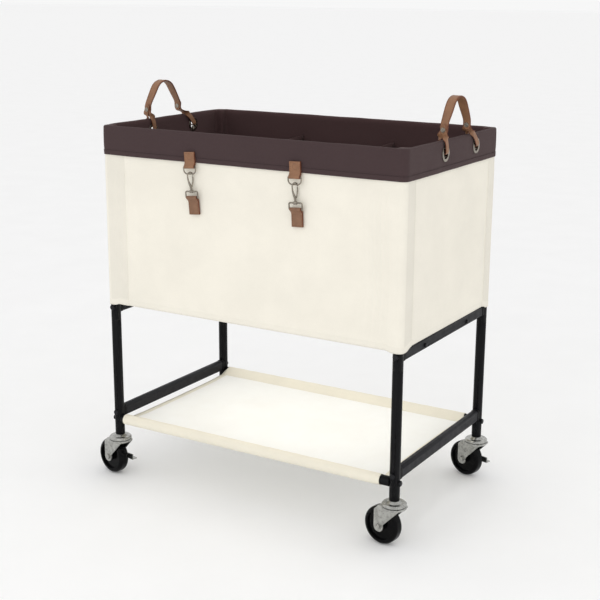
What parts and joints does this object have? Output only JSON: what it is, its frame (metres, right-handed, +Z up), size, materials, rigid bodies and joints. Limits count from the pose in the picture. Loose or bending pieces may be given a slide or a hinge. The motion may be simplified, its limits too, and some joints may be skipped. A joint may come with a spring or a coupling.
{
  "type": "laundry sorter cart",
  "caption": "Laundry sorter on swivel casters: tube frame, tall canvas bag with a divided dark liner, leather handles, two clasps and a fabric shelf below.",
  "frame": {"origin": "on the floor, midway between the four posts", "axes": "+X along the long side to the right, +Y from front to back, +Z up; the clasps are on the front"},
  "size_m": [0.7367, 0.4397, 0.821],
  "materials": {
    "post_paint": "black powder coat, satin",
    "rail_paint": "dark grey powder coat, satin",
    "fitting_plastic": "moulded, matte",
    "dark_fastener": "blackened steel",
    "rim_steel": "plain drawn wire",
    "canvas": "plain cotton canvas, matte",
    "liner_fabric": "dark brown woven fabric, matte",
    "shelf_fabric": "cream woven fabric, matte",
    "board": "plain hardboard",
    "leather": "smooth tan leather, satin",
    "nickel": "nickel plate, polished",
    "zinc_steel": "zinc plate, satin",
    "wheel_plastic": "black moulded wheel, glossy"
  },
  "bodies": {
    "frame": {"bag_tab_left": "leather", "bag_tab_right": "leather", "base_board": "board", "caster_balls": "zinc_steel", "caster_sockets": "fitting_plastic", "caster_stems": "zinc_steel", "cuff_tab_left": "leather", "cuff_tab_right": "leather", "divider_left": "liner_fabric", "divider_right": "liner_fabric", "eyelets": "nickel", "frame_bolts": "dark_fastener", "handle_loop_left": "leather", "handle_loop_right": "leather", "handle_rivets": "nickel", "liner_bag": "liner_fabric", "lower_post_bl": "post_paint", "lower_post_br": "post_paint", "lower_post_fl": "post_paint", "lower_post_fr": "post_paint", "lower_side_rail_left": "rail_paint", "lower_side_rail_right": "rail_paint", "outer_bag": "canvas", "post_caps": "fitting_plastic", "rim_wire": "rim_steel", "shelf_rod_back": "post_paint", "shelf_rod_front": "post_paint", "shelf_sheet": "shelf_fabric", "support_bar_back": "rail_paint", "support_bar_front": "rail_paint", "support_screws": "dark_fastener", "swivel_eye_left": "nickel", "swivel_eye_right": "nickel", "tube_end_plugs": "fitting_plastic", "upper_posts": "post_paint", "upper_side_rail_left": "rail_paint", "upper_side_rail_right": "rail_paint"},
    "caster_fl": {"caster_fork_fl": "zinc_steel", "caster_axle_fl": "zinc_steel"},
    "wheel_fl": {"caster_wheel_fl": "wheel_plastic"},
    "caster_fr": {"caster_fork_fr": "zinc_steel", "caster_axle_fr": "zinc_steel"},
    "wheel_fr": {"caster_wheel_fr": "wheel_plastic"},
    "caster_bl": {"caster_fork_bl": "zinc_steel", "caster_axle_bl": "zinc_steel"},
    "wheel_bl": {"caster_wheel_bl": "wheel_plastic"},
    "caster_br": {"caster_fork_br": "zinc_steel", "caster_axle_br": "zinc_steel"},
    "wheel_br": {"caster_wheel_br": "wheel_plastic"},
    "brake_fl": {"brake_lever_fl": "zinc_steel"},
    "brake_br": {"brake_lever_br": "zinc_steel"},
    "handle_left": {"handle_arch_left": "leather"},
    "ring_left": {"d_ring_left": "nickel"},
    "hook_left": {"snap_hook_left": "nickel"},
    "catch_left": {"gate_left": "nickel"},
    "handle_right": {"handle_arch_right": "leather"},
    "ring_right": {"d_ring_right": "nickel"},
    "hook_right": {"snap_hook_right": "nickel"},
    "catch_right": {"gate_right": "nickel"}
  },
  "joints": [
    {"name": "swivel_fl", "type": "hinge", "parent": "frame", "child": "caster_fl", "pos_m": [-0.325, -0.1925, 0.0825], "axis": [0, 0, 1], "continuous": true},
    {"name": "roll_fl", "type": "hinge", "parent": "caster_fl", "child": "wheel_fl", "pos_m": [-0.34848, -0.18751, 0.0375], "axis": [0.2079, 0.9781, 0], "continuous": true},
    {"name": "brake_press_fl", "type": "hinge", "parent": "caster_fl", "child": "brake_fl", "pos_m": [-0.34848, -0.18751, 0.0375], "axis": [0.2079, 0.9781, 0], "range_deg": [0, 20]},
    {"name": "swivel_fr", "type": "hinge", "parent": "frame", "child": "caster_fr", "pos_m": [0.325, -0.1925, 0.0825], "axis": [0, 0, 1], "continuous": true},
    {"name": "roll_fr", "type": "hinge", "parent": "caster_fr", "child": "wheel_fr", "pos_m": [0.30129, -0.18875, 0.0375], "axis": [0.1564, 0.9877, 0], "continuous": true},
    {"name": "swivel_bl", "type": "hinge", "parent": "frame", "child": "caster_bl", "pos_m": [-0.325, 0.1925, 0.0825], "axis": [0, 0, 1], "continuous": true},
    {"name": "roll_bl", "type": "hinge", "parent": "caster_bl", "child": "wheel_bl", "pos_m": [-0.34863, 0.19667, 0.0375], "axis": [0.1736, 0.9848, 0], "continuous": true},
    {"name": "swivel_br", "type": "hinge", "parent": "frame", "child": "caster_br", "pos_m": [0.325, 0.1925, 0.0825], "axis": [0, 0, 1], "continuous": true},
    {"name": "roll_br", "type": "hinge", "parent": "caster_br", "child": "wheel_br", "pos_m": [0.30193, 0.19911, 0.0375], "axis": [0.2756, 0.9613, 0], "continuous": true},
    {"name": "brake_press_br", "type": "hinge", "parent": "caster_br", "child": "brake_br", "pos_m": [0.30193, 0.19911, 0.0375], "axis": [0.2756, 0.9613, 0], "range_deg": [0, 20]},
    {"name": "handle_tilt_left", "type": "hinge", "parent": "frame", "child": "handle_left", "pos_m": [-0.3367, -0.003, 0.763], "axis": [0, 1, 0], "range_deg": [-90, 90]},
    {"name": "ring_swing_left", "type": "hinge", "parent": "frame", "child": "ring_left", "pos_m": [-0.11711, -0.2111, 0.6789], "axis": [0.9966, 0, 0.0819], "range_deg": [-1, 1]},
    {"name": "hook_turn_left", "type": "hinge", "parent": "frame", "child": "hook_left", "pos_m": [-0.1138, -0.2111, 0.63864], "axis": [-0.0819, 0, 0.9966], "range_deg": [0, 80]},
    {"name": "gate_open_left", "type": "hinge", "parent": "hook_left", "child": "catch_left", "pos_m": [-0.11084, -0.20727, 0.64189], "axis": [-0.7635, 0.6428, -0.0628], "range_deg": [-15, 0], "stiffness_Nm_per_rad": 0.01, "springref_deg": 14.32},
    {"name": "handle_tilt_right", "type": "hinge", "parent": "frame", "child": "handle_right", "pos_m": [0.3367, -0.003, 0.763], "axis": [0, 1, 0], "range_deg": [-90, 90]},
    {"name": "ring_swing_right", "type": "hinge", "parent": "frame", "child": "ring_right", "pos_m": [0.11696, -0.2111, 0.67897], "axis": [0.999, 0, 0.0454], "range_deg": [-1, 1]},
    {"name": "hook_turn_right", "type": "hinge", "parent": "frame", "child": "hook_right", "pos_m": [0.1188, -0.2111, 0.63861], "axis": [-0.0454, 0, 0.999], "range_deg": [0, 80]},
    {"name": "gate_open_right", "type": "hinge", "parent": "hook_right", "child": "catch_right", "pos_m": [0.12187, -0.20727, 0.64175], "axis": [-0.7653, 0.6428, -0.0348], "range_deg": [-15, 0], "stiffness_Nm_per_rad": 0.01, "springref_deg": 14.32}
  ]
}
